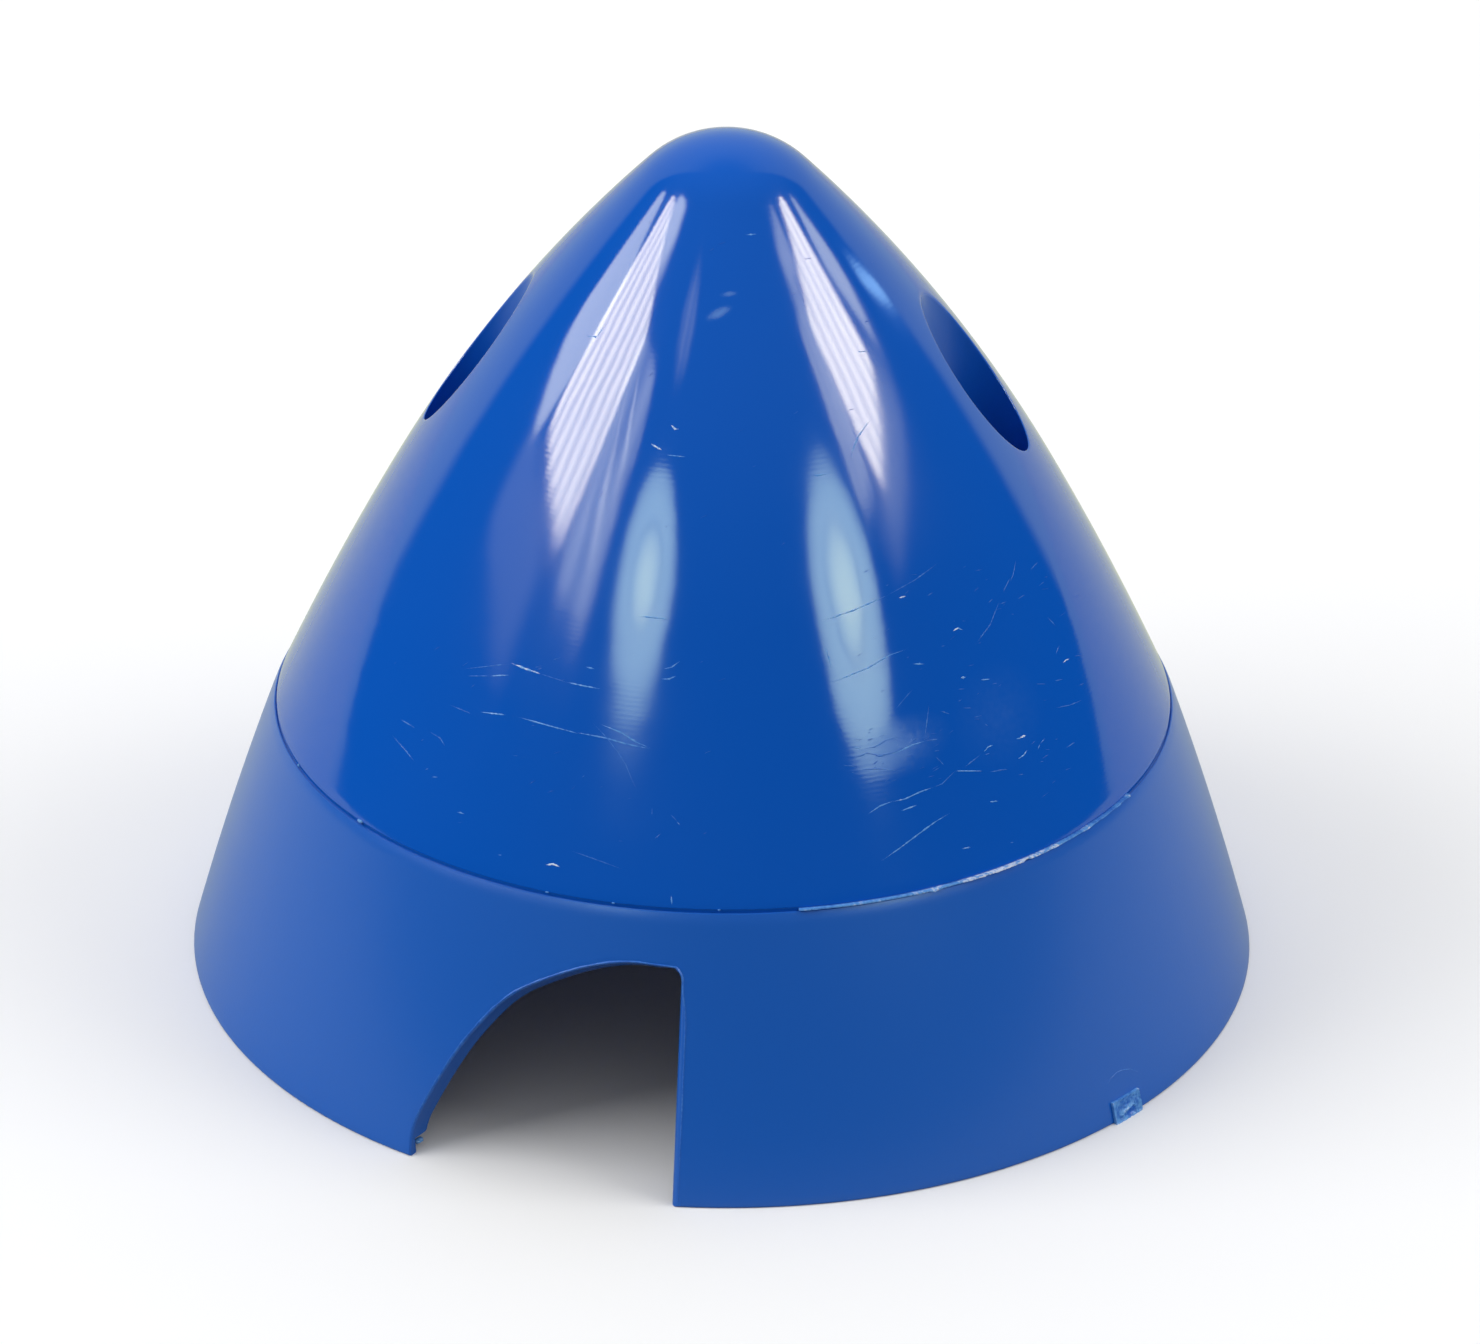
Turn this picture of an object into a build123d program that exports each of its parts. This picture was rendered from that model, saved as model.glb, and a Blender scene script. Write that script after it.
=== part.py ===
from build123d import *
import os
from math import acos, atan2, cos, degrees, hypot, radians, sin, sqrt

# Propeller spinner for a two-blade model aircraft propeller, moulded in one piece.
# Millimetres, +Z towards the nose, origin at the centre of the open base.
# The blades leave the hub along -Y and +Y.

# Outside of the cone
base_radius = 28.5
line_radius = 23.85        # at the witness line between the satin ring and the glossy dome
ring_height = 14.55        # from the base up to the witness line
overall_height = 46.6
ring_side_radius = 183.0   # the ring's side bows out a little
shoulder_radius = 170.0    # lower arc of the dome's side
shoulder_turn = 4.6        # degrees that the lower arc turns before the upper one takes over
flank_radius = 83.5        # upper arc of the dome's side
nose_radius = 6.1
line_step = 0.08           # the ring stands this much proud of the dome at the witness line

# Wall, measured across it
wall = 1.2
nose_wall = 1.9

# Register that the backplate's rim sits in
lip_width = 0.55
register_depth = 0.8

# Two screw tunnels, parallel to the axis
screw_circle_radius = 12.95
screw_angle = 13.4         # degrees from +X to the line through both screws
tunnel_radius = 2.85
tunnel_wall = 1.2
seat_thickness = 2.0
screw_hole_radius = 1.6

# Blade cut-out, drawn in the plane that touches the ring's side at the blade line
cutout_width = 14.8
cutout_height = 12.7
cutout_lean = 1.0          # how far the straight side leans in on its way up
cutout_corner = 0.55
crown_setback = 2.8        # from the straight side's foot to the crown of the curved side
foot_height = 1.2          # upright stretch at the bottom of the curved side
curve_shape = ((0.07, 0.22), (0.27, 0.57), (0.52, 0.82))   # shares across and up the curve
cutout_draft = 15.0        # degrees that the cut narrows towards the inside

blade_count = 2
ring_slope = degrees(atan2(base_radius - line_radius, ring_height))
level_wall = wall / cos(radians(ring_slope))   # the ring's wall, measured level


def direction(angle):
    """Unit vector in the half section, this many degrees above the radius."""
    return Vector(cos(radians(angle)), sin(radians(angle)))


def dome_arcs(foot, tip_height, inset):
    """Centre, radius and two angles of each tangent arc, from the foot of the dome to its tip.

    The two side arcs keep one shape and swing about the foot as a pair, until the upper one
    touches the nose circle.
    """
    lower, upper, nose = shoulder_radius - inset, flank_radius - inset, nose_radius - inset
    nose_centre = Vector(0, tip_height - nose)
    along = lower - (lower - upper) * cos(radians(shoulder_turn))
    across = (lower - upper) * sin(radians(shoulder_turn))
    reach = hypot(along, across)
    foot_to_nose = nose_centre - foot
    span = foot_to_nose.length
    opening = acos((reach**2 + span**2 - (upper - nose) ** 2) / (2 * reach * span))
    swing = atan2(foot_to_nose.Y, foot_to_nose.X) + opening + atan2(across, along)
    foot_angle = degrees(swing) - 180
    turn_angle = foot_angle + shoulder_turn
    lower_centre = foot - direction(foot_angle) * lower
    upper_centre = lower_centre + direction(turn_angle) * (lower - upper)
    nose_line = nose_centre - upper_centre
    nose_angle = degrees(atan2(nose_line.Y, nose_line.X))
    return [
        (lower_centre, lower, foot_angle, turn_angle),
        (upper_centre, upper, turn_angle, nose_angle),
        (nose_centre, nose, nose_angle, 90),
    ]


def cone_body(inset, tip_height, step):
    """Solid cone whose side lies inset inside the outer one; step sets the dome back at the line."""
    line_point = Vector(line_radius - inset, ring_height)
    foot = line_point - Vector(step, 0)
    with BuildSketch(Plane.XZ) as section:
        with BuildLine():
            side = RadiusArc((base_radius - inset, 0), line_point, -ring_side_radius + inset)
            if step:
                Line(line_point, foot)
            for centre, radius, start, end in dome_arcs(foot, tip_height, inset):
                CenterArc(centre, radius, start, end - start)
            Polyline((0, tip_height), (0, 0), side @ 0)
        make_face()
    return revolve(section.sketch, Axis.Z)


def post(radius, bottom, top):
    """Upright cylinder on the axis."""
    return Pos(0, 0, bottom) * Cylinder(radius, top - bottom, align=(Align.CENTER, Align.CENTER, Align.MIN))


def at_screws(shape):
    """Copies of a shape at both screws."""
    return [place * shape for place in PolarLocations(screw_circle_radius, 2, screw_angle)]


def cutout_outline():
    """Outline of one blade cut-out: straight side, near-flat crown, curved side, open at the base."""
    half = cutout_width / 2
    below = -3 * wall
    foot = Vector(-half, foot_height)
    crown = Vector(half - crown_setback, cutout_height)
    box = crown - foot
    curve = [foot + Vector(box.X * across, box.Y * up) for across, up in curve_shape]
    top_corner = Vector(half - cutout_lean, cutout_height)
    with BuildSketch() as outline:
        with BuildLine():
            Spline([foot, *curve, crown], tangents=[(0, 1), (1, 0)])
            Polyline(crown, top_corner, (half, 0), (half, below), (-half, below), foot)
        make_face()
        corner = outline.vertices().sort_by_distance(top_corner)[0]
        fillet(corner, cutout_corner)
    return outline.sketch


def blade_cutter():
    """Drafted block that cuts the ring square to its side, at the blade line on -Y."""
    outward = Vector(0, -cos(radians(ring_slope)), sin(radians(ring_slope)))
    touching = Plane(origin=(0, -base_radius, 0), x_dir=(1, 0, 0), z_dir=outward)
    rise = base_radius - sqrt(base_radius**2 - (cutout_width / 2) ** 2)
    outline = touching * cutout_outline()
    through = extrude(outline, amount=rise + 3 * wall, dir=-outward, taper=cutout_draft)
    return through + extrude(outline, amount=wall, dir=outward)


outer = cone_body(0, overall_height, line_step)
cavity = cone_body(level_wall, overall_height - nose_wall, 0)
shell = outer - cavity

bosses = at_screws(post(tunnel_radius + tunnel_wall, register_depth, overall_height))
spinner = shell + [outer & boss for boss in bosses]
spinner -= at_screws(post(tunnel_radius, register_depth + seat_thickness, overall_height))
spinner -= at_screws(post(screw_hole_radius, 0, overall_height))
spinner -= post(base_radius - lip_width, 0, register_depth)

cutter = blade_cutter()
for blade in range(blade_count):
    spinner -= Rot(0, 0, blade * 360 / blade_count) * cutter

os.makedirs("parts", exist_ok=True)
export_step(spinner, "parts/spinner_cone.step")
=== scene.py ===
# %% [markdown]
# # A propeller spinner in glossy blue plastic
#
# The spinner is the pointed cap in front of a model aircraft's propeller. It is one thin
# injection moulding: a polished dome, a satin ring below it, two screw tunnels that break out
# through the dome, and a cut-out on each side that a propeller blade passes through.
#
# A solid model of the part is already there. This lesson makes the mesh that is looked at: the
# same sizes, with the rounded edges, the mould's parting groove, the flash, the torn gate, the
# burrs, the scratches and the lips round the cut-outs that make it a real moulding.

import random
from math import acos, atan2, cos, hypot, pi, radians, sin, sqrt, tan

import bmesh
import bpy
from mathutils import Matrix, Vector, geometry


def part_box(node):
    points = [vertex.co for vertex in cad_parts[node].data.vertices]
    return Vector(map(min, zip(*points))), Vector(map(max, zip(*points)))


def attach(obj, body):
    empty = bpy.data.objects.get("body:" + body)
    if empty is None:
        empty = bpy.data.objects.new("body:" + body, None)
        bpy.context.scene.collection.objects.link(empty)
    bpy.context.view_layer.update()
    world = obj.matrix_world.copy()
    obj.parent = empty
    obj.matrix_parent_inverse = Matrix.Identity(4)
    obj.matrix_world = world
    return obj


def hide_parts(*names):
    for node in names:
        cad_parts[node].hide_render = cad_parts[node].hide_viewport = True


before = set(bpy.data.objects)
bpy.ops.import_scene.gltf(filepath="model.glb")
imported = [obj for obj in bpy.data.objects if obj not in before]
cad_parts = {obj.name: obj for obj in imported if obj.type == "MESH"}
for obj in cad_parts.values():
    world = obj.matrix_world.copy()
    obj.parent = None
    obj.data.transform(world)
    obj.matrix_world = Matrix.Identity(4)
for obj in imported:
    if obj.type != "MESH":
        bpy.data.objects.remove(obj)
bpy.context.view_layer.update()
MM = 0.001                   # metres in a millimetre
base_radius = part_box("spinner_cone")[1].x / MM
overall_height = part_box("spinner_cone")[1].z / MM
print(f"frame: base radius {base_radius:.2f} mm, height {overall_height:.2f} mm")

# %% [markdown]
# ## Sizes
#
# A moulding is easiest to model in the unit that its drawing uses. All sizes here are
# millimetres, and each mesh is scaled to metres once, at its end. The base radius and the height
# come from the frame. The rest repeats the drawing of the part.

# %% Name the sizes of the moulding
line_radius = 23.85          # at the parting line between ring and dome
ring_height = 14.55
ring_side_radius = 183.0     # the ring's side bows out a little
shoulder_radius, shoulder_turn = 170.0, radians(4.6)
flank_radius, nose_radius = 83.5, 6.1
line_step = 0.08             # the dome stands back from the ring at the parting line
wall, nose_wall = 1.2, 1.9
lip_width, register_depth = 0.55, 0.8
screw_circle_radius, screw_angle = 12.95, radians(13.4)
tunnel_radius, tunnel_wall = 2.85, 1.2
seat_thickness, screw_hole_radius = 2.0, 1.6
cutout_width, cutout_height, cutout_lean = 14.8, 12.7, 1.55
cutout_corner, crown_setback, foot_height = 0.30, 2.8, 1.2
corner_drop = 0.62           # the crown sinks this much towards its corner
curve_shape = ((0.07, 0.22), (0.27, 0.57), (0.52, 0.82))
cutout_draft = radians(15)
ring_slope = atan2(base_radius - line_radius, ring_height)
level_wall = wall / cos(ring_slope)
turns_round = 256            # segments of every full turn of the cone
print(f"ring leans in by {ring_slope * 180 / pi:.1f} degrees")

# %% [markdown]
# ## The camera
#
# The camera comes first, because small marks on the part are placed through it. A long lens,
# 176 mm on a 36 mm sensor, looks down on the spinner from 34 cm away. Its place was found by
# fitting the rims and the parting line of the part, which are circles of known size.

# %% Set up the camera
image_width, image_height = 1480, 1344
sensor_width, focal_length = 36.0, 175.86
camera_distance, camera_height = 339.65, 193.82   # level and upright, from the base's centre
camera_azimuth = radians(19.36)                   # to the right of the blade line
camera_pan, camera_tilt, camera_roll = radians(0.146), radians(27.67), radians(0.454)


def make_camera():
    heading = camera_azimuth - camera_pan
    forward = Vector((-sin(heading) * cos(camera_tilt), cos(heading) * cos(camera_tilt), -sin(camera_tilt)))
    level = forward.cross(Vector((0, 0, 1))).normalized()
    upright = level.cross(forward)
    right = level * cos(camera_roll) + upright * sin(camera_roll)
    up = upright * cos(camera_roll) - level * sin(camera_roll)
    camera = bpy.data.objects.new("camera", bpy.data.cameras.new("camera"))
    camera.data.sensor_width = sensor_width
    camera.data.lens = focal_length
    camera.matrix_world = Matrix((right, up, -forward)).transposed().to_4x4()
    camera.location = Vector((sin(camera_azimuth) * camera_distance, -cos(camera_azimuth) * camera_distance,
                              camera_height)) * MM
    bpy.context.scene.collection.objects.link(camera)
    bpy.context.scene.camera = camera
    return camera


camera = make_camera()
print("camera at", [round(x / MM, 1) for x in camera.location], "mm")

# %% [markdown]
# ## The half section
#
# A spinner is turned about its axis, so one half section gives nearly all of its form. The ring's
# side is one shallow arc. The dome is three arcs that touch: a very flat one at the shoulder, a
# rounder one up the flank, and the small nose. Three arcs are used in place of a spline, because
# a reflection runs smoothly over arcs that touch and wobbles over a spline with loose points.

# %% Work out the arcs of the section
def polar(angle, length=1.0):
    return Vector((cos(angle), sin(angle))) * length


def dome_arcs(foot, tip_height, inset):
    """Centre, radius and two angles of each arc, from the dome's foot to its tip."""
    lower, upper, nose = shoulder_radius - inset, flank_radius - inset, nose_radius - inset
    nose_centre = Vector((0, tip_height - nose))
    along = lower - (lower - upper) * cos(shoulder_turn)
    across = (lower - upper) * sin(shoulder_turn)
    reach = hypot(along, across)
    to_nose = nose_centre - foot
    opening = acos((reach**2 + to_nose.length_squared - (upper - nose) ** 2) / (2 * reach * to_nose.length))
    foot_angle = atan2(to_nose.y, to_nose.x) + opening + atan2(across, along) - pi
    turn_angle = foot_angle + shoulder_turn
    lower_centre = foot - polar(foot_angle, lower)
    upper_centre = lower_centre + polar(turn_angle, lower - upper)
    nose_line = nose_centre - upper_centre
    nose_angle = atan2(nose_line.y, nose_line.x)
    return [(lower_centre, lower, foot_angle, turn_angle), (upper_centre, upper, turn_angle, nose_angle),
            (nose_centre, nose, nose_angle, pi / 2)]


def arc_points(centre, radius, start, end, spacing):
    steps = max(2, round(abs(end - start) * radius / spacing))
    return [centre + polar(start + (end - start) * k / steps, radius) for k in range(steps + 1)]


nose_steps = 14              # steps on a stretch as long as the radius, where the arc is a small one
outer_spacing, inner_spacing = 0.36, 0.9


def dome_points(foot, tip_height, inset, spacing):
    """Points up the dome; the nose is stepped finer, as its arc is small."""
    points = [foot]
    for centre, radius, start, end in dome_arcs(foot, tip_height, inset):
        points += arc_points(centre, radius, start, end, min(spacing, radius / nose_steps))[1:]
    points[-1].x = 0.0
    return points


def side_points(bottom, top, radius, spacing):
    """Points on the shallow arc that bows out between two points of the ring's side."""
    chord = top - bottom
    middle = (bottom + top) / 2
    inward = Vector((-chord.y, chord.x)).normalized()
    centre = middle + inward * sqrt(radius**2 - (chord.length / 2) ** 2)
    first, last = bottom - centre, top - centre
    return arc_points(centre, radius, atan2(first.y, first.x), atan2(last.y, last.x), spacing)


def radius_at(side, height):
    """Radius of a side at a height; past either end it runs on straight."""
    for low, high in zip(side, side[1:]):
        if height <= high.y or high is side[-1]:
            return low.x + (high.x - low.x) * (height - low.y) / (high.y - low.y)


ring_side = side_points(Vector((base_radius, 0)), Vector((line_radius, ring_height)), ring_side_radius, 0.5)
dome_side = dome_points(Vector((line_radius - line_step, ring_height)), overall_height, 0, outer_spacing)
print(f"section: {len(ring_side)} points up the ring, {len(dome_side)} up the dome")

# %% [markdown]
# ## The parting groove and the rims
#
# Where the mould's two halves met, a hair-fine slot runs round the part. It reads as a dark line,
# because its inner wall leans under the dome's edge and sees no light. A painted line would stay
# dark from every side, so the slot is real: a few points in the section, a tenth of a millimetre
# wide. Every outer corner also gets a small round. No moulded corner is truly sharp, and it is
# the round that catches a thin line of light.

# %% Draw the closed half section of the shell
shoulder_length, shoulder_drop = 0.7, 0.05   # the ring's top eases in over this length, by this much
shoulder_end, shoulder_steps = 0.09, 7       # and stops this short of the slot
rim_round = 0.18
slot_points = [                              # radius and height, from the parting line's corner
    (-0.062, -0.075), (-0.075, -0.050), (-0.082, -0.075), (-0.100, -0.125), (-0.160, -0.150),
    (-0.215, -0.125), (-0.220, -0.080), (-0.165, 0.115), (-0.158, 0.135),
]
dome_edge = 0.15                             # the dome's polished side starts this far above the line


def eased_ring():
    """The ring's side, with its last stretch bent in a little towards the slot."""
    start = ring_height - shoulder_length
    lower = [p for p in ring_side if rim_round < p.y < start]
    top = Vector((line_radius, ring_height))
    downhill = (ring_side[-2] - ring_side[-1]).normalized()
    for k in range(shoulder_steps):
        share = k / (shoulder_steps - 1)
        point = top + downhill * (shoulder_length - (shoulder_length - shoulder_end) * share)
        lower.append(point - Vector((shoulder_drop * share**2, 0)))
    return lower


def round_corner(before, corner, after, radius, steps=4):
    """Points of a small round at a corner of the section."""
    start = corner + (before - corner).normalized() * radius
    end = corner + (after - corner).normalized() * radius
    return [start.lerp(corner, t).lerp(corner.lerp(end, t), t) for t in (k / steps for k in range(steps + 1))]


def inner_side():
    """The hollow's side, from the register's ledge up to the hollow's tip."""
    foot = Vector((base_radius - level_wall, 0))
    top = Vector((line_radius - level_wall, ring_height))
    side = side_points(foot, top, ring_side_radius - level_wall, inner_spacing)
    dome = dome_points(top, overall_height - nose_wall, level_wall, inner_spacing)
    return [p for p in side if p.y > register_depth + rim_round] + dome[1:]


def shell_section():
    inside = inner_side()
    ledge_radius = base_radius - level_wall - register_depth * tan(ring_slope)
    lip = Vector((base_radius - lip_width, 0))
    ceiling = Vector((base_radius - lip_width, register_depth))
    ledge = Vector((ledge_radius, register_depth))
    rim = Vector((base_radius, 0))
    line_point = Vector((line_radius, ring_height))
    points = round_corner(ceiling, lip, rim, rim_round / 2, 3)
    points += round_corner(lip, rim, ring_side[1], rim_round)
    points += eased_ring()
    points += [line_point + Vector(offset) for offset in slot_points]
    points += [p for p in dome_side if p.y > ring_height + dome_edge]
    return points[::-1] + [ceiling] + round_corner(ceiling, ledge, inside[0], rim_round) + inside


section = shell_section()
print(f"the closed section has {len(section)} points")

# %% [markdown]
# ## Spinning the shell
#
# The operator `spin` turns the section into the thin shell. The section starts at the outer tip
# and ends at the inner one, so both ends lie on the axis. The copies of those two points are
# merged afterwards, which closes the poles.

# %% Spin the shell
def spin_solid(points, centre=(0, 0), segments=turns_round):
    """Closed solid from a half section whose two ends lie on the axis."""
    bm = bmesh.new()
    corners = [bm.verts.new((centre[0] + p[0], centre[1], p[1])) for p in points]
    for first, second in zip(corners, corners[1:]):
        bm.edges.new((first, second))
    bmesh.ops.spin(bm, geom=bm.verts[:] + bm.edges[:], cent=(*centre, 0), axis=(0, 0, 1),
                   angle=2 * pi, steps=segments, use_merge=True)
    bmesh.ops.remove_doubles(bm, verts=bm.verts, dist=0.0005)
    bmesh.ops.recalc_face_normals(bm, faces=bm.faces)
    return bm


def object_from(bm, name):
    mesh = bpy.data.meshes.new(name)
    bm.to_mesh(mesh)
    bm.free()
    made = bpy.data.objects.new(name, mesh)
    bpy.context.scene.collection.objects.link(made)
    return made


shell = object_from(spin_solid(section), "spinner_shell")
print(f"shell: {len(shell.data.polygons)} faces")

# %% [markdown]
# ## Screw tunnels
#
# Each screw goes down a tube that stands on the register's ledge and runs into the dome. Its bore
# breaks out through the dome's side, which leaves a long pointed oval. The tube and the bore are
# both spun about the screw's own axis. Their upper points are then laid on the dome: a height
# above `aloft` is read as a height above the dome's surface at that place. That is how the bore's
# mouth gets an even round all the way along its slanting edge.

# %% Spin the tubes and the bores
aloft = 100.0
mouth_round = 0.16
mouth_cover = 0.65           # the tube ends this far under the dome's surface, inside its wall
most_turn = radians(80)      # a round stops short of level, so that the last row can leave the surface
flare, flare_height = 0.17, 0.03   # how far that row runs on outwards, and its height above the surface
bore_top, bore_bottom = 1.2, -1    # the bore's tool ends clear of the part, above and below
cap_steps, bore_segments = 5, 96
screw_centres = [polar(screw_angle + k * pi, screw_circle_radius) for k in range(2)]


def surface_height(radius):
    """Height of the dome's surface at a radius."""
    for low, high in zip(dome_side, dome_side[1:]):
        if high.x <= radius <= low.x:
            return low.y + (high.y - low.y) * (low.x - radius) / (low.x - high.x)
    return overall_height


def lay_on_dome(bm):
    for vert in bm.verts:
        if vert.co.z > aloft / 2:
            vert.co.z += surface_height(hypot(vert.co.x, vert.co.y)) - aloft


def join_into(whole, part):
    """Adds one bmesh to another."""
    carrier = bpy.data.meshes.new("carrier")
    part.to_mesh(carrier)
    part.free()
    whole.from_mesh(carrier)
    bpy.data.meshes.remove(carrier)


def tube_section():
    outside = tunnel_radius + tunnel_wall
    top = aloft - mouth_cover
    cap = [(outside * k / cap_steps, top) for k in range(cap_steps + 1)]
    return cap + [(outside, register_depth), (0, register_depth)]


def bore_section():
    seat = register_depth + seat_thickness
    steps = 6
    turns = [most_turn * k / steps for k in range(steps, -1, -1)]
    mouth = [(tunnel_radius + mouth_round * (1 - cos(a)), aloft - mouth_round * (1 - sin(a))) for a in turns]
    widest = mouth[0][0] + flare
    cap = [(widest * k / cap_steps, aloft + bore_top) for k in range(cap_steps + 1)]
    shaft = [(tunnel_radius, seat), (screw_hole_radius, seat)]
    shaft += [(screw_hole_radius, bore_bottom), (0, bore_bottom)]
    return cap + [(widest, aloft + flare_height)] + mouth + shaft


tubes, bores = bmesh.new(), bmesh.new()
for centre in screw_centres:
    for whole, half_section in ((tubes, tube_section()), (bores, bore_section())):
        turned = spin_solid(half_section, centre, bore_segments)
        lay_on_dome(turned)
        join_into(whole, turned)
print(f"{len(screw_centres)} tubes and bores, {len(bores.faces)} faces")

# %% [markdown]
# ## Blade cut-outs
#
# A blade's root is a twisted slab, so its cut-out is lopsided: one straight side, a flat crown
# and one side that curves down. The mould forms it square to the ring's side, with some draft, and
# that is why a dark band shows along its left edge. The outline has a true arc at its corner, and
# on its curved side a few points that smooth cubic stretches run through.

# %% Draw the outline of one cut-out
edge_round = 0.17            # round along the outer edge
side_round = 0.55            # and along the straight side, where it is softer
draft_limit = 0.80           # most that the draft narrows the cut, where the outline has no tight corner
curve_steps = 14             # points on each stretch of the curved side


def curved_side():
    """The curved side from its foot to the crown, as cubic stretches through a few points."""
    half = cutout_width / 2
    foot, crown = Vector((-half, foot_height)), Vector((half - crown_setback, cutout_height))
    box = crown - foot
    knots = [foot] + [foot + Vector((box.x * a, box.y * u)) for a, u in curve_shape] + [crown]
    slopes = [Vector((0, 1)) * (knots[1] - knots[0]).length]
    slopes += [(after - before) / 2 for before, after in zip(knots, knots[2:])]
    slopes += [Vector((1, 0)) * (knots[-1] - knots[-2]).length]
    points = [knots[0]]
    for start, end, leaving, arriving in zip(knots, knots[1:], slopes, slopes[1:]):
        piece = geometry.interpolate_bezier(start, start + leaving / 3, end - arriving / 3, end, curve_steps)
        points += piece[1:]
    return points


def corner_arc(before, corner, after, radius, steps=7):
    """True arc that rounds a corner of the outline."""
    back, on = (before - corner).normalized(), (after - corner).normalized()
    half_angle = back.angle(on) / 2
    centre = corner + (back + on).normalized() * radius / sin(half_angle)
    start, end = corner + back * radius / tan(half_angle), corner + on * radius / tan(half_angle)
    first, last = start - centre, end - centre
    return [centre + first.slerp(last, k / steps) for k in range(steps + 1)]


def stretch(start, end, steps):
    return [start.lerp(end, k / steps) for k in range(1, steps + 1)]


def cutout_outline():
    half, below = cutout_width / 2, -3 * wall
    curve = curved_side()
    crown, foot_of_side = curve[-1], Vector((half, 0))
    top_corner = Vector((half - cutout_lean, cutout_height - corner_drop))
    corner = corner_arc(crown, top_corner, foot_of_side, cutout_corner)
    points = stretch(Vector((-half, below)), curve[0], 6) + curve[1:]
    points += stretch(crown, corner[0], 4) + corner[1:]
    points += stretch(corner[-1], foot_of_side, 20) + stretch(foot_of_side, Vector((half, below)), 5)
    return points + [Vector((-half, below))]


outline = cutout_outline()
print(f"the cut-out's outline has {len(outline)} points")

# %% [markdown]
# The outline lies in the plane that touches the ring at the blade line. Each of its points is
# pushed in until it meets the ring's bowed side, which a few rounds of correction find.

# %% Lay points of the outline on the ring
across = Vector((1, 0, 0))
outward = Vector((0, -cos(ring_slope), sin(ring_slope)))
upward = outward.cross(across)
correction_rounds, correction_share = 8, 0.95


def from_plane(flat, depth):
    """A point of the plane that touches the ring at the blade line, pushed in by a depth."""
    return Vector((0, -base_radius, 0)) + across * flat.x + upward * flat.y - outward * depth


def surface_depth(flat):
    """How far under that plane the ring's surface lies."""
    depth = 0.0
    for _ in range(correction_rounds):
        point = from_plane(flat, depth)
        depth += (hypot(point.x, point.y) - radius_at(ring_side, point.z)) * correction_share
    return depth


print("depth of the ring at the cut-out's foot:", round(surface_depth(outline[0]), 2), "mm")

# %% [markdown]
# The cutter is one outline, extruded row by row. A row has two numbers: how far it stands outside
# the outline, and how high it lies over the surface. The last rows turn outwards along the ring,
# and leave a rounded edge that catches light. A bevel could round that edge after the cut, but on
# the many small faces of a cut edge it breaks up, so the round is part of the cutter.

# %% Extrude the cutter row by row
inside_row = 2.6             # the innermost row lies this deep, clear of the wall
wall_clearance, cutter_top = 0.1, 1.5
bend_steps = 5
near_side = (6.0, 0.5)       # the softer round begins this far to the right, and is full soon after
under_crown = (11.6, -1.5)   # and begins this far up, going down
tight_corner = (4.0, 1.5)    # where the top corner limits the draft


def part_way(value, start, length):
    """0 before a stretch and 1 past its end, also where the stretch runs downwards."""
    return min(1, max(0, (value - start) / length))


def outline_normals():
    """Outward direction at each point of the outline, from its two neighbours."""
    count = len(outline)
    tangents = [(outline[(k + 1) % count] - outline[k - 1]).normalized() for k in range(count)]
    return [Vector((-t.y, t.x)) for t in tangents]


def round_here(flat):
    share = part_way(flat.x, *near_side) * part_way(flat.y, *under_crown)
    return edge_round + (side_round - edge_round) * share


def cutter_rows(flat):
    """Rows at one point of the outline, from inside out: its growth, and the height over the surface."""
    radius = round_here(flat)
    surface = surface_depth(flat)
    corner_limit = cutout_corner * 0.98   # any more would turn the corner inside out
    most = draft_limit + (corner_limit - draft_limit) * part_way(flat.x, *tight_corner)
    depths = (inside_row, level_wall + wall_clearance)
    narrowing = [(-min(most, (surface + depth) * tan(cutout_draft)), -depth) for depth in depths]
    foot = -(surface + radius) * tan(cutout_draft)
    turns = [most_turn * k / bend_steps for k in range(bend_steps + 1)]
    bend = [(foot + radius * (1 - cos(a)), -radius * (1 - sin(a))) for a in turns]
    widest = bend[-1][0] + flare
    return narrowing + bend + [(widest, flare_height), (widest, cutter_top)]


def blade_cutter():
    bm = bmesh.new()
    place = bm.verts.layers.int.new("outline_point")
    normals = outline_normals()
    rows = [cutter_rows(flat) for flat in outline]

    def position(index, row):
        growth, height = rows[index][row]
        flat = outline[index] + normals[index] * growth
        return from_plane(flat, surface_depth(flat) - height)

    for index in range(len(outline)):
        bm.verts.new(position(index, 0))[place] = index
    edges = bm.faces.new(bm.verts).edges[:]
    for row in range(1, len(rows[0])):
        made = bmesh.ops.extrude_edge_only(bm, edges=edges)["geom"]
        for vert in (g for g in made if isinstance(g, bmesh.types.BMVert)):
            vert.co = position(vert[place], row)
        edges = [g for g in made if isinstance(g, bmesh.types.BMEdge) and g.is_boundary]
    bmesh.ops.holes_fill(bm, edges=edges, sides=0)
    bmesh.ops.recalc_face_normals(bm, faces=bm.faces)
    return bm


cutters = bmesh.new()
for blade in range(2):
    cutter = blade_cutter()
    bmesh.ops.rotate(cutter, verts=cutter.verts, matrix=Matrix.Rotation(blade * pi, 3, "Z"))
    join_into(cutters, cutter)
print(f"cutters: {len(cutters.faces)} faces")

# %% [markdown]
# ## Joining and cutting
#
# The tubes are united with the shell, and then the bores and the blade cutters are taken away.
# The exact solver is used, because the rows of a cutter meet the ring's surface at a shallow
# angle. The result is baked into the mesh.

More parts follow.
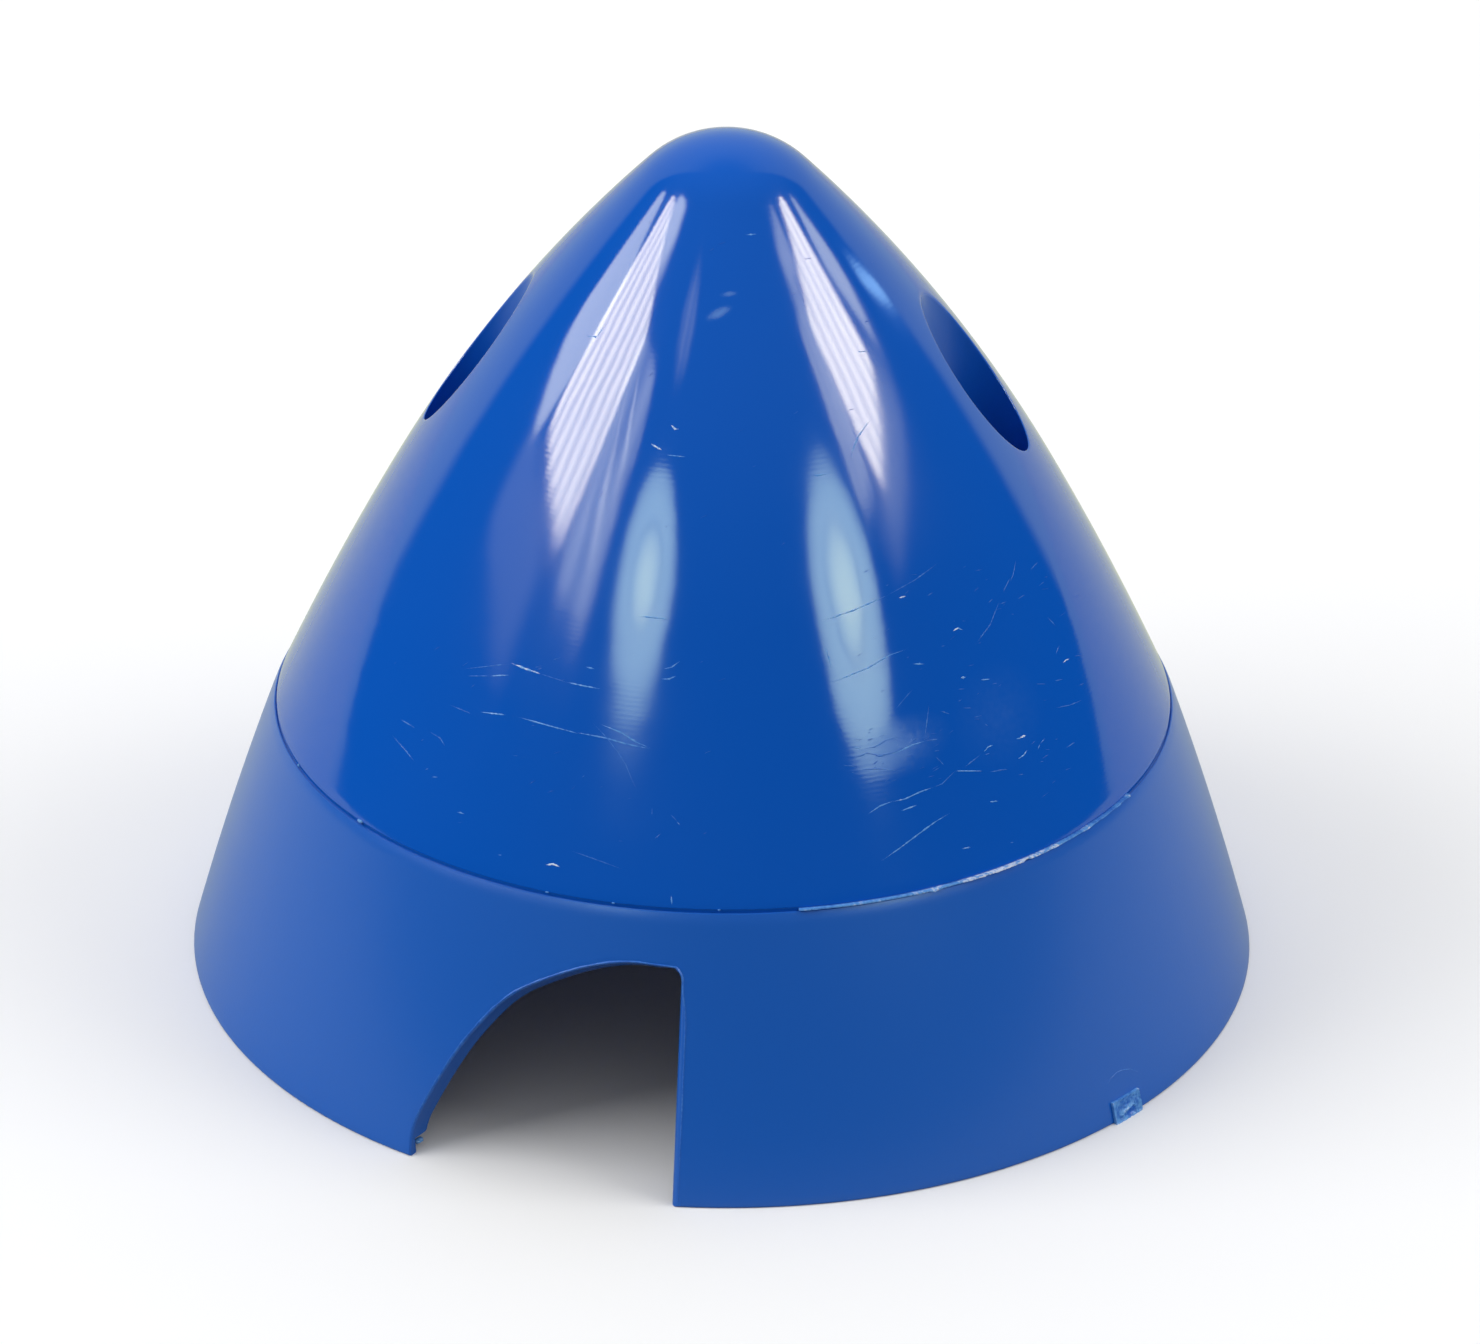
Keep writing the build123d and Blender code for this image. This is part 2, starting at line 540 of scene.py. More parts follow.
# %% Unite the tubes, cut the bores and the blade openings
def combine(target, bm, operation):
    """Applies one boolean and removes its tool."""
    tool = object_from(bm, "tool")
    modifier = target.modifiers.new("combine", "BOOLEAN")
    modifier.object = tool
    modifier.operation = operation
    modifier.solver = "EXACT"
    solved = bpy.data.meshes.new_from_object(target.evaluated_get(bpy.context.evaluated_depsgraph_get()))
    target.modifiers.clear()
    target.data = solved
    bpy.data.objects.remove(tool)


join_into(bores, cutters)
combine(shell, tubes, "UNION")
combine(shell, bores, "DIFFERENCE")
print(f"shell after cutting: {len(shell.data.polygons)} faces")

# %% [markdown]
# ## Clean edges and smooth shading
#
# A boolean leaves a few tiny edges where two meshes met. They are merged, the mesh is scaled to
# metres, and every edge that turns by more than a set angle is marked sharp. The faces then fall
# into two groups: the polished dome, and all else, which has the satin grain of the mould's other
# half.

# %% Finish the shell's mesh
sharp_angle = radians(34)
gloss_index, satin_index = 0, 1
dome_tolerance = 0.06        # a face whose middle lies deeper than this isn't on the dome


def on_dome(face):
    middle = face.calc_center_median()
    if middle.z < ring_height + dome_edge / 2:
        return False
    return hypot(middle.x, middle.y) > radius_at(dome_side, middle.z) - dome_tolerance


def finish_piece(piece, sharp=sharp_angle, merge=0.002):
    """Merges strays, marks sharp edges and scales a piece from millimetres to metres."""
    bm = bmesh.new()
    bm.from_mesh(piece.data)
    bmesh.ops.remove_doubles(bm, verts=bm.verts, dist=merge)
    bmesh.ops.dissolve_degenerate(bm, edges=bm.edges, dist=merge / 2)
    for face in bm.faces:
        face.smooth = True
        if piece is shell:
            face.material_index = gloss_index if on_dome(face) else satin_index
    for edge in bm.edges:
        edge.smooth = edge.calc_face_angle(0) < sharp
    bmesh.ops.scale(bm, verts=bm.verts, vec=(MM, MM, MM))
    bm.to_mesh(piece.data)
    bm.free()
    return piece


finish_piece(shell)
triangles = sum(len(polygon.vertices) - 2 for polygon in shell.data.polygons)
print(f"{shell.name}: {triangles} triangles")

# %% [markdown]
# ## Flash on the parting line
#
# Along the right of the picture the mould didn't close quite tight. A hair of plastic squeezed
# out of the parting line and stands as a ragged, whitened fin. A small section is spun along that
# stretch only, and its outer points are then pushed in and out with smooth noise.

# %% Spin the fin and roughen it
flash_start, flash_end = radians(-61.3), radians(-8.6)
flash_steps = 420
flash_section = ((-0.20, -0.10), (-0.22, 0.05), (0.0, 0.06), (0.02, 0.0))
flash_course = (             # angle, how far the fin stands out, how white it is
    (-61.3, 0.02, 0.40), (-60.5, 0.10, 0.60), (-59.0, 0.06, 0.48), (-53.0, 0.075, 0.50), (-47.5, 0.10, 0.58),
    (-42.0, 0.09, 0.62), (-41.0, 0.03, 0.40), (-39.5, 0.09, 0.85), (-35.0, 0.15, 1.0), (-31.0, 0.13, 1.0),
    (-29.5, 0.06, 0.75), (-26.0, 0.09, 0.80), (-23.0, 0.045, 0.35), (-20.5, 0.04, 0.35), (-19.0, 0.10, 0.75),
    (-17.5, 0.03, 0.30), (-12.6, 0.03, 0.25), (-11.8, 0.08, 0.50), (-11.0, 0.02, 0.25), (-9.6, 0.03, 0.30),
    (-9.1, 0.13, 0.90), (-8.6, 0.02, 0.50),
)
flash_knots = ((-44.0, 0.7, -0.09), (-30.2, 0.7, 0.10))   # angle, width, how far up or down
flash_lift = 0.35            # the fin leans up by this share of how far it stands out
coarse_steps, fine_steps = 8, 2
reach_ripple, whiteness_ripple = (0.35, 0.30), (0.20, 0.15)   # shares of the coarse and the fine noise


def along_flash(degrees_round):
    """Reach and whiteness of the fin at an angle."""
    for low, high in zip(flash_course, flash_course[1:]):
        if degrees_round <= high[0]:
            share = max(0, (degrees_round - low[0]) / (high[0] - low[0]))
            return low[1] + (high[1] - low[1]) * share, low[2] + (high[2] - low[2]) * share
    return flash_course[-1][1:]


def smooth_random(seed, count, step):
    """Values from -1 to 1 that change smoothly, with a random value every so many steps."""
    source = random.Random(seed)
    knots = [source.uniform(-1, 1) for _ in range(count // step + 3)]
    values = []
    for k in range(count):
        share = (k % step) / step
        ease = share * share * (3 - 2 * share)
        values.append(knots[k // step] * (1 - ease) + knots[k // step + 1] * ease)
    return values


def ripple(shares, coarse, fine):
    """A factor near 1, moved by a share of the coarse and of the fine noise."""
    return 1 + shares[0] * coarse + shares[1] * fine


def parting_flash():
    bm = bmesh.new()
    outer = bm.verts.layers.int.new("outer_point")
    corners = []
    for number, (radius, height) in enumerate(flash_section):
        place = polar(flash_start, line_radius + radius)
        corner = bm.verts.new((place.x, place.y, ring_height + height))
        corner[outer] = 1 if number > 1 else 0
        corners.append(corner)
    face = bm.faces.new(corners)
    bmesh.ops.spin(bm, geom=[face], cent=(0, 0, 0), axis=(0, 0, 1), angle=flash_end - flash_start,
                   steps=flash_steps, use_merge=False)
    bmesh.ops.recalc_face_normals(bm, faces=bm.faces)
    wear_and_painted_light_layer = bm.verts.layers.float.new("wear_and_painted_light")
    coarse = smooth_random(4, flash_steps + 1, coarse_steps)
    fine = smooth_random(5, flash_steps + 1, fine_steps)
    for vert in bm.verts:
        angle = atan2(vert.co.y, vert.co.x)
        step = round((angle - flash_start) / (flash_end - flash_start) * flash_steps)
        reach, whiteness = along_flash(angle * 180 / pi)
        vert[wear_and_painted_light_layer] = whiteness * ripple(whiteness_ripple, coarse[step], fine[step])
        if vert[outer]:
            reach *= ripple(reach_ripple, coarse[step], fine[step])
            knot = sum(rise * max(0, 1 - abs(angle * 180 / pi - at) / wide) for at, wide, rise in flash_knots)
            vert.co += Vector((cos(angle), sin(angle), flash_lift)) * reach + Vector((0, 0, knot))
    return bm


flash = finish_piece(object_from(parting_flash(), "parting_flash"), radians(60))
print(f"{flash.name}: {len(flash.data.polygons)} faces")

# %% [markdown]
# ## The torn gate
#
# Plastic entered the mould through a gate at the base. The stub was torn off, which leaves a small oblong
# with a rough, whitened face. A grid gets a rough relief, is extruded down into the wall so that it is
# closed, and is then bent onto the ring. Its colour follows the relief: the raised border and the ridge are
# paler, partly as whitened plastic and partly as a painted highlight, and the hollow is darker, as painted
# shade.

# %% Model the gate's stub
gate_angle = radians(-23.0)
gate_width, gate_height = 2.1, 1.15
gate_stand, gate_root = 0.13, 0.3   # how far the torn face stands out, and how deep the stub roots
gate_cells = (26, 14)
ridge_foot, ridge_climb, ridge_width, ridge_span = 0.20, 0.45, 0.13, (0.2, 0.75)   # shares of the face
hollow_across, hollow_up, hollow_reach, hollow_stretch = 0.62, 0.16, 0.2, 0.7
gate_level = 0.05            # the torn face's plain part lies this much lower
border_rise, ridge_rise, hollow_fall, grain_rise = 0.09, 0.10, 0.10, 0.035
# The border, its corners and the ridge are paler partly as torn plastic and partly as painted highlight; the
# hollow's darkening is painted shade.
plain_white, border_white_and_painted_highlight, corner_white_and_painted_highlight = 0.25, 0.20, 0.30   # whiteness, from 0 to 1
ridge_white_and_painted_highlight, hollow_painted_shade, grain_white = 0.40, 0.20, 0.10


def gate_relief(across_share, up_share, grain):
    """Height and whiteness of the torn face: a raised border and one ridge that runs across it, paler partly
    as painted highlight, and a hollow that is darker as painted shade.
    """
    border = max(abs(across_share - 0.5), abs(up_share - 0.5)) * 2
    corner = abs(across_share - 0.5) * abs(up_share - 0.5) * 4
    ridge = max(0, 1 - abs(up_share - ridge_foot - ridge_climb * across_share) / ridge_width)
    if not ridge_span[0] < across_share < ridge_span[1]:
        ridge = 0
    from_hollow = hypot(across_share - hollow_across, (up_share - hollow_up) * hollow_stretch)
    hollow = max(0, 1 - from_hollow / hollow_reach)
    height = gate_stand + border_rise * border**6 + ridge_rise * ridge - hollow_fall * hollow
    # paler on the raised parts as painted highlight, darker in the hollow as painted shade
    whiteness = plain_white + border_white_and_painted_highlight * border**5 + corner_white_and_painted_highlight * corner**3 + ridge_white_and_painted_highlight * ridge
    return height + grain_rise * grain - gate_level, whiteness - hollow_painted_shade * hollow + grain_white * grain


def gate_scar():
    bm = bmesh.new()
    wear_and_painted_light_layer = bm.verts.layers.float.new("wear_and_painted_light")
    source = random.Random(11)
    bmesh.ops.create_grid(bm, x_segments=gate_cells[0], y_segments=gate_cells[1], size=0.5)
    for vert in bm.verts:
        vert.co.z, whiteness = gate_relief(vert.co.x + 0.5, vert.co.y + 0.5, source.uniform(-1, 1))
        vert[wear_and_painted_light_layer] = max(0, whiteness)
    edges = [edge for edge in bm.edges if edge.is_boundary]
    made = bmesh.ops.extrude_edge_only(bm, edges=edges)["geom"]
    for vert in (g for g in made if isinstance(g, bmesh.types.BMVert)):
        vert.co.z = -gate_root
        vert[wear_and_painted_light_layer] = 0
    bmesh.ops.holes_fill(bm, edges=[g for g in made if isinstance(g, bmesh.types.BMEdge) and g.is_boundary])
    bmesh.ops.recalc_face_normals(bm, faces=bm.faces)
    for vert in bm.verts:
        height = (vert.co.y + 0.5) * gate_height
        radius = radius_at(ring_side, height) + vert.co.z
        turned = polar(gate_angle + vert.co.x * gate_width / base_radius, radius)
        vert.co = (turned.x, turned.y, height)
    return bm


gate = finish_piece(object_from(gate_scar(), "gate_scar"), radians(25), 0.0005)
print(f"{gate.name}: {len(gate.data.polygons)} faces")

# %% [markdown]
# ## Burrs
#
# A few specks of plastic are left by the mould: on the parting line and at the foot of the
# cut-out's left side. Each is a small ball, squashed and knocked out of round, and sunk halfway
# into what it sits on.

# %% Model the burrs
burr_places = (              # angle, height, radius there, and the three half sizes
    (-122.3, 14.66, 23.72, (0.20, 0.10, 0.10)),
    (-139.2, 14.62, 23.74, (0.10, 0.05, 0.07)),
    (-84.0, 14.66, 23.72, (0.08, 0.04, 0.04)),
    (-71.0, 14.66, 23.72, (0.07, 0.04, 0.04)),
    (-92.5, 14.66, 23.72, (0.09, 0.04, 0.04)),
)
nub_flat, nub_depth = Vector((-7.08, 0.98)), 1.75   # on the outline's plane, and how far in
nub_sizes = (0.22, 0.30, 0.13)
burr_unevenness, burr_wear = 0.22, 0.55


def add_burr(bm, place, sizes, seed):
    source = random.Random(seed)
    made = bmesh.ops.create_icosphere(bm, subdivisions=2, radius=1.0)["verts"]
    for vert in made:
        vert.co *= 1 + source.uniform(-burr_unevenness, burr_unevenness)
    bmesh.ops.scale(bm, verts=made, vec=sizes)
    bmesh.ops.rotate(bm, verts=made, matrix=Matrix.Rotation(atan2(place.y, place.x) + pi / 2, 3, "Z"))
    bmesh.ops.translate(bm, verts=made, vec=place)


def burrs():
    bm = bmesh.new()
    wear_and_painted_light_layer = bm.verts.layers.float.new("wear_and_painted_light")
    for number, (angle, height, radius, sizes) in enumerate(burr_places):
        around = polar(radians(angle), radius)
        add_burr(bm, Vector((around.x, around.y, height)), sizes, number)
    add_burr(bm, from_plane(nub_flat, nub_depth), nub_sizes, 9)
    for vert in bm.verts:
        vert[wear_and_painted_light_layer] = burr_wear
    return bm


specks = finish_piece(object_from(burrs(), "mould_burrs"), radians(80))
print(f"{specks.name}: {len(specks.data.polygons)} faces")

# %% [markdown]
# ## Scratches
#
# A scratch in plastic is a groove with a burr of pushed-up, whitened material along it. At this
# scale the burr is what is seen: it looks pale on the dark blue and dark across a highlight, since
# it sends the light elsewhere. So each scratch is a sliver of triangular section, a twentieth of a
# millimetre wide, that lies on the dome and tapers at both ends. Its course is given in the
# picture's pixels and is thrown onto the dome through the camera.

# %% List the scratches
deep_scratches = (           # points in the picture's pixels
    ((511, 663), (526, 669), (541, 674)),
    ((651, 444), (662, 450)), ((671, 425), (675, 429), (679, 429)), ((899, 598), (906, 596)),
    ((953, 621), (955, 621)), ((953, 631), (958, 628), (963, 630)), ((961, 678), (966, 677)),
    ((1063, 663), (1066, 660), (1069, 659)), ((1020, 738), (1026, 735)), ((546, 865), (553, 864), (560, 867)),
)
clear_scratches = (
    ((671, 895), (672, 905)), ((566, 682), (584, 686), (601, 689)), ((586, 667), (595, 669)),
    ((490, 676), (509, 675)), ((480, 712), (506, 715)), ((518, 717), (550, 726), (580, 734)),
    ((574, 732), (606, 738), (630, 745), (652, 749)),
    ((600, 724), (620, 732), (636, 742), (650, 748)), ((664, 669), (672, 667), (680, 661)),
    ((661, 679), (669, 679), (676, 676)), ((667, 455), (686, 457)), ((432, 777), (438, 777)),
    ((457, 812), (465, 814)), ((498, 855), (502, 855)), ((677, 822), (680, 825)),
    ((639, 616), (655, 618), (668, 619)),
    ((822, 621), (852, 611), (888, 595)), ((831, 683), (868, 668), (890, 655), (907, 649)),
    ((825, 647), (828, 655), (832, 668)), ((913, 664), (920, 664), (925, 664)), ((981, 680), (990, 679)),
    ((853, 747), (862, 749)), ((889, 755), (900, 751), (912, 745), (925, 741)),
    ((868, 814), (880, 806), (893, 801)),
    ((891, 802), (905, 799), (920, 792), (934, 787)), ((955, 771), (970, 771), (983, 771)),
    ((1016, 739), (1021, 738)), ((1018, 759), (1024, 755), (1027, 750)), ((990, 802), (998, 801)),
    ((901, 811), (917, 805)), ((880, 862), (900, 848), (920, 833), (935, 822), (950, 813)),
    ((984, 752), (988, 747), (993, 745)), ((1038, 749), (1040, 744)), ((962, 849), (971, 847)),
    ((813, 476), (828, 474)), ((871, 418), (858, 437), (852, 452), (852, 460)), ((858, 352), (868, 351)),
    ((586, 336), (597, 337), (605, 325)), ((745, 235), (757, 234)),
)
faint_scratches = (
    ((464, 669), (499, 665), (511, 664)), ((541, 674), (566, 682)), ((467, 676), (490, 676)),
    ((450, 705), (472, 714)), ((592, 722), (607, 738), (618, 752), (626, 765), (632, 780), (637, 790)),
    ((400, 719), (415, 728)), ((430, 732), (440, 738), (445, 746)), ((392, 735), (405, 750), (415, 762)),
    ((425, 770), (429, 768)), ((572, 851), (600, 861), (622, 869)), ((652, 808), (652, 815)),
    ((671, 815), (677, 821)), ((888, 595), (915, 580), (938, 563)), ((905, 594), (909, 590)),
    ((962, 621), (966, 621)), ((940, 711), (950, 714)), ((963, 708), (972, 708)),
    ((895, 710), (905, 698), (913, 689)),
    ((925, 736), (929, 705)), ((862, 749), (875, 747), (887, 740), (895, 738), (903, 741)),
    ((862, 752), (880, 756), (900, 751)), ((856, 758), (870, 752)), ((925, 741), (938, 739)),
    ((843, 765), (857, 767)), ((858, 770), (880, 769), (903, 771)), ((936, 757), (944, 765)),
    ((934, 787), (942, 784), (955, 771)), ((990, 772), (1008, 769)), ((965, 767), (980, 755)),
    ((985, 755), (990, 753)), ((1040, 744), (1045, 738)), ((1040, 762), (1044, 761)),
    ((1018, 775), (1024, 774)),
    ((1052, 793), (1054, 793)), ((1010, 843), (1014, 842)), ((1016, 560), (1013, 575), (1010, 582)),
    ((1010, 578), (1003, 592)), ((1000, 600), (990, 625), (975, 645)), ((1030, 570), (1038, 562)),
    ((1106, 1087), (1110, 1080), (1116, 1073), (1122, 1070), (1130, 1069), (1139, 1072), (1143, 1075)),
    ((1056, 708), (1070, 705), (1082, 700)), ((1047, 617), (1056, 626)), ((1056, 654), (1059, 645)),
    ((1036, 684), (1046, 684)), ((1055, 681), (1063, 679)), ((985, 724), (988, 726)),
    ((1066, 748), (1075, 742)),
)
scratch_kinds = (            # courses, width in pixels, whiteness
    (deep_scratches, 3.6, 0.95), (clear_scratches, 2.6, 0.50), (faint_scratches, 1.9, 0.20),
)
random_nicks = (             # left, top, right and bottom of a patch in pixels, and how many nicks it has
    (850, 560, 1080, 800, 70), (850, 730, 945, 785, 26), (390, 640, 720, 860, 30), (560, 160, 900, 560, 22),
)
print(sum(len(courses) for courses, _, _ in scratch_kinds), "traced scratches and",
      sum(patch[-1] for patch in random_nicks), "random nicks")

# %% [markdown]
# A pixel is a ray from the camera. Where the ray meets the shell, it gives a place and a normal.
# The course between two pixels is filled up with further points, so that it follows the dome.

# %% Throw a course of pixels onto the cone
pixels_per_radian = focal_length / sensor_width * image_width
pixel_size = camera_distance / pixels_per_radian   # millimetres of the surface, per pixel


def on_cone(pixel):
    """Where a pixel of the picture meets the spinner, in millimetres, with the surface's normal."""
    towards = Vector(((pixel[0] - image_width / 2) / pixels_per_radian,
                      (image_height / 2 - pixel[1]) / pixels_per_radian, -1))
    hit, place, normal, _ = shell.ray_cast(camera.location, camera.matrix_world.to_3x3() @ towards)
    return (place / MM, normal) if hit else None


def resample(course, spacing=2.0):
    """Evenly spaced points along a course of a few pixels."""
    corners = [Vector(corner) for corner in course]
    points = [corners[0]]
    for start, end in zip(corners, corners[1:]):
        steps = max(1, round((end - start).length / spacing))
        points += stretch(start, end, steps)
    return points


bpy.context.view_layer.update()
picture_middle = (image_width / 2, image_height / 2)
print("the picture's middle shows the cone at", [round(x, 1) for x in on_cone(picture_middle)[0]], "mm")

# %% [markdown]
# A sliver has three corners at each point of its course: two just under the surface and one above
# it. They are joined by long faces. At both ends the sliver shrinks to almost nothing.

# %% Lay the slivers
burr_rise, burr_sink = 0.012, 0.010
taper_power, least_taper = 3, 0.1
taper_spread, wear_spread = (0.6, 1.25), (0.6, 1.3)
nick_slope, nick_slope_spread = -0.45, 0.5   # most nicks climb to the right, as a hand's wipe leaves them
nick_lengths, nick_widths, nick_wears = (2.5, 9), (0.9, 1.8), (0.03, 0.2)   # in pixels; whiteness


def add_sliver(bm, wear_and_painted_light_layer, found, width, rise, wear_and_painted_light, source):
    """One burr along places with their normals: three long faces that meet in a point at both ends."""
    if None in found or len(found) < 2:
        return
    loops = []
    for number, (place, normal) in enumerate(found):
        before, after = found[max(0, number - 1)][0], found[min(len(found) - 1, number + 1)][0]
        share = number / (len(found) - 1)
        taper = max(least_taper, 1 - abs(2 * share - 1) ** taper_power) * source.uniform(*taper_spread)
        sideways = normal.cross(after - before).normalized() * width / 2 * taper
        sink = normal * burr_sink
        corners = (place - sideways - sink, place + normal * rise * taper, place + sideways - sink)
        loop = [bm.verts.new(corner) for corner in corners]
        for vert in loop:
            vert[wear_and_painted_light_layer] = wear_and_painted_light * source.uniform(*wear_spread)
        loops.append(loop)
    for first, second in zip(loops, loops[1:]):
        for k in range(3):
            bm.faces.new((first[k], first[(k + 1) % 3], second[(k + 1) % 3], second[k]))
    bm.faces.new(loops[0][::-1])
    bm.faces.new(loops[-1])


def scratches():
    bm = bmesh.new()
    wear_and_painted_light_layer = bm.verts.layers.float.new("wear_and_painted_light")
    source = random.Random(23)
    for courses, width, wear_and_painted_light in scratch_kinds:
        for course in courses:
            found = [on_cone(point) for point in resample(course)]
            add_sliver(bm, wear_and_painted_light_layer, found, width * pixel_size, burr_rise, wear_and_painted_light, source)
    for left, top, right, bottom, count in random_nicks:
        for _ in range(count):
            start = Vector((source.uniform(left, right), source.uniform(top, bottom)))
            slope = nick_slope + source.uniform(-nick_slope_spread, nick_slope_spread)
            end = start + Vector((1, slope)).normalized() * source.uniform(*nick_lengths)
            found = [on_cone(point) for point in resample((start, end))]
            width = source.uniform(*nick_widths) * pixel_size
            wear_and_painted_light = source.uniform(*nick_wears)
            add_sliver(bm, wear_and_painted_light_layer, found, width, burr_rise, wear_and_painted_light, source)
    bmesh.ops.recalc_face_normals(bm, faces=bm.faces)
    return bm


scuffs = finish_piece(object_from(scratches(), "scratch_burrs"), radians(10), 0.0001)
print(f"{scuffs.name}: {len(scuffs.data.polygons)} faces")

# %% [markdown]
# ## Lips of the cut-outs
#
# A slide of the mould forms each cut-out, and a hair of plastic creeps in where the slide meets the cone. It
# shows as a thin pale line round the opening: the raised sliver catches light, and its paler colour is partly
# whitening and partly a painted highlight along the rim. The sliver of a scratch does this job too: it
# follows the last row of the cutter, just inside the rounded edge, and is a little taller.

# %% Run a lip round both cut-outs
# The lip's paler colour is partly a painted highlight along the rim of the opening.
lip_breadth, lip_rise, lip_inset, lip_whitening_and_highlight = 0.15, 0.05, 0.20, 0.16
lip_start = 0.25             # it begins this far above the base


def cutout_lips():
    bm = bmesh.new()
    wear_and_painted_light_layer = bm.verts.layers.float.new("wear_and_painted_light")
    source = random.Random(31)
    normals = outline_normals()
    above_base = [k for k, flat in enumerate(outline) if flat.y > lip_start]
    for blade in range(2):
        turned = Matrix.Rotation(blade * pi, 3, "Z")
        found = []
        for k in above_base:
            growth = cutter_rows(outline[k])[-2][0] - lip_inset
            flat = outline[k] + normals[k] * growth
            place = from_plane(flat, surface_depth(flat))
            normal = Vector((place.x, place.y, hypot(place.x, place.y) * tan(ring_slope))).normalized()
            found.append((turned @ place, turned @ normal))
        add_sliver(bm, wear_and_painted_light_layer, found, lip_breadth, lip_rise, lip_whitening_and_highlight, source)
    bmesh.ops.recalc_face_normals(bm, faces=bm.faces)
    return bm


lips = finish_piece(object_from(cutout_lips(), "cutout_lips"), radians(60), 0.0001)
print(f"{lips.name}: {len(lips.data.polygons)} faces")

# %% [markdown]
# ## A small toolkit for shader nodes
#
# Each node is added by one function. An input is a constant, an output, or an earlier node, which
# then gives its first output. A colour ramp gets its stops at the same time. Colours are written as
# hex values, as a colour picker shows them, and are turned into the linear light that the renderer
# works in.

# %% Colours and nodes
def paint(hex_colour):
    """Linear colour, with alpha, from an sRGB hex value."""
    shares = [int(hex_colour[k:k + 2], 16) / 255 for k in (1, 3, 5)]
    return [c / 12.92 if c <= 0.04045 else ((c + 0.055) / 1.055) ** 2.4 for c in shares] + [1.0]


def set_inputs(node, inputs):
    """Sets each input to a constant, or links it to an output; a node stands for its first output."""
    for name, value in inputs.items():
        if isinstance(value, bpy.types.Node):
            value = value.outputs[0]
        if isinstance(value, bpy.types.NodeSocket):
            node.id_data.links.new(value, node.inputs[name])
        else:
            node.inputs[name].default_value = value


def add_node(tree, kind, inputs=None, stops=(), **settings):
    """Adds a shader node with its settings and inputs; stops fill a colour ramp."""
    node = tree.nodes.new("ShaderNode" + kind)
    for name, value in settings.items():
        setattr(node, name, value)
    set_inputs(node, inputs or {})
    if stops:
        fill_ramp(node.color_ramp, stops)
    return node


def fill_ramp(ramp, stops):
    """Each stop is a place and a colour, or a place and a grey level."""
    ramp.interpolation = "EASE"
    ramp.elements.remove(ramp.elements[1])
    for number, (place, shade) in enumerate(stops):
        element = ramp.elements[0] if number == 0 else ramp.elements.new(place)
        element.position = place
        element.color = shade if isinstance(shade, list) else (shade, shade, shade, 1)


def new_material(name):
    material = bpy.data.materials.new(name)
    material.use_nodes = True
    return material, material.node_tree, material.node_tree.nodes["Principled BSDF"]


blue, stressed, whitened = paint("#0B5BC5"), paint("#5FA0E6"), paint("#DDE8FB")
satin_blue = paint("#0B60C6")      # the grain scatters a slightly paler blue
print("blue in linear light:", [round(x, 3) for x in blue])

# %% [markdown]
# ## The plastic
#
# The part is moulded in ABS, coloured through. The dome's half of the mould is polished and the
# ring's half is spark-eroded, so one plastic shows two finishes. Where the plastic is torn or
# scratched it turns pale, because tiny cracks scatter the light. The polished face isn't perfect:
# it has the faint rings of the lathe that cut the mould, a slow waviness, and handling marks.
# Sizes are real: a texture's scale is one over the size of its pattern in metres.

# %% Place the handling marks
smudge_places = (            # middle and reach in pixels, turn in degrees, strength
    ((719, 313), (17, 7), -28, 0.34), ((729, 294), (11, 4), -8, 0.26),
    ((905, 745), (62, 34), -20, 0.10), ((1000, 715), (70, 60), -30, 0.05),
)
smudge_depth = 2 * MM        # how far a patch reaches into the surface


def patch_mask(tree, place, pixel, reach, turn, strength):
    """Soft oval on the surface, round the point that a pixel shows."""
    centre, normal = on_cone(pixel)
    right = camera.matrix_world.to_3x3() @ Vector((cos(radians(turn)), -sin(radians(turn)), 0))
    right = (right - normal * right.dot(normal)).normalized()
    local = Matrix((right, normal.cross(right), normal)).transposed()
    half_width, half_height = (pixels * pixel_size * MM for pixels in reach)
    moved = add_node(tree, "Mapping", {
        "Vector": place, "Location": centre * MM, "Rotation": local.to_euler(),
        "Scale": (half_width, half_height, smudge_depth)}, vector_type="TEXTURE")
    oval = add_node(tree, "TexGradient", {0: moved}, gradient_type="SPHERICAL")
    return add_node(tree, "Math", {0: oval.outputs["Fac"], 1: strength}, operation="MULTIPLY")


print(f"{len(smudge_places)} smudges and hazy patches")

# %% [markdown]
# Polish isn't flat. Three fine reliefs are laid over each other as bumps: the lathe's rings, the
# waviness and some dust. They bend the edges of a highlight a little, which tells the eye that the
# surface is moulded and has been handled. Bumps are enough, as none of them shows on the outline.

# %% Shade the polished dome
ring_pitch, ring_relief = 0.22 * MM, 0.00016 * MM   # turning marks in the mould
wave_size, wave_relief = 5 * MM, 0.016 * MM         # slow waviness of a thin moulding
dust_size, dust_relief = 0.3 * MM, 0.0006 * MM
dull_size = wave_size / 0.35                        # patches that are wiped a little duller
least_rough, most_rough = 0.055, 0.11
wear_dulls = 2.0                                    # a smudge's share counts this much as roughness
plastic_ior = 1.5


